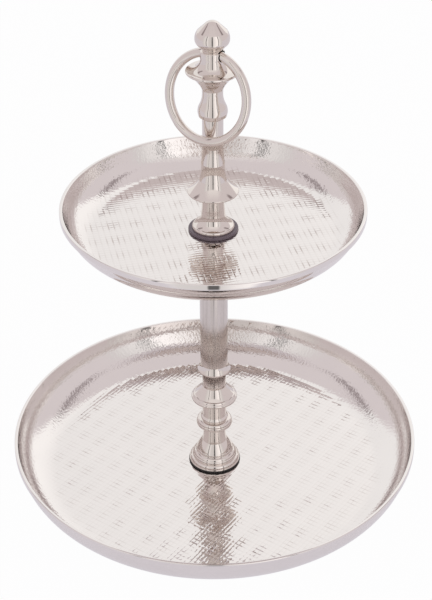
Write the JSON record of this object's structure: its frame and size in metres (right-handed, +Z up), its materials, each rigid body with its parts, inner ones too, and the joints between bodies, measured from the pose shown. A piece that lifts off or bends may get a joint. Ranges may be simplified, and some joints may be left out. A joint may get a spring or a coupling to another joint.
{
  "type": "tiered cake stand",
  "caption": "Round metal trays stacked on a turned central column, with a ring handle hanging through the finial, for serving cakes and small food.",
  "frame": {"origin": "on the column's axis, at the underside of the lower tray", "axes": "+Z up along the column; the ring handle's cross hole runs along X and the ring leans out towards -Y"},
  "size_m": [0.3, 0.3, 0.3565],
  "materials": {
    "tray_metal": "bright nickel plate, embossed on the inside",
    "column_metal": "bright nickel plate, polished",
    "ring_metal": "bright nickel plate, polished",
    "lower_rubber": "black, matte",
    "upper_rubber": "dark grey, satin",
    "fastener_steel": "zinc plated"
  },
  "bodies": {
    "stand": {"lower_tray": "tray_metal", "upper_tray": "tray_metal", "screw_washer": "fastener_steel", "tray_screw": "fastener_steel", "lower_gasket": "lower_rubber", "lower_spindle": "column_metal", "lower_tube": "column_metal", "tray_seat": "column_metal", "tie_rod": "fastener_steel", "upper_gasket": "upper_rubber", "upper_foot": "column_metal", "upper_stem": "column_metal", "finial": "column_metal", "finial_stud": "fastener_steel"},
    "ring": {"ring_handle": "ring_metal"}
  },
  "joints": [
    {"name": "ring_swing", "type": "hinge", "parent": "stand", "child": "ring", "pos_m": [0, 0, 0.3337], "axis": [-1, 0, 0], "range_deg": [-1.8, 335]}
  ]
}
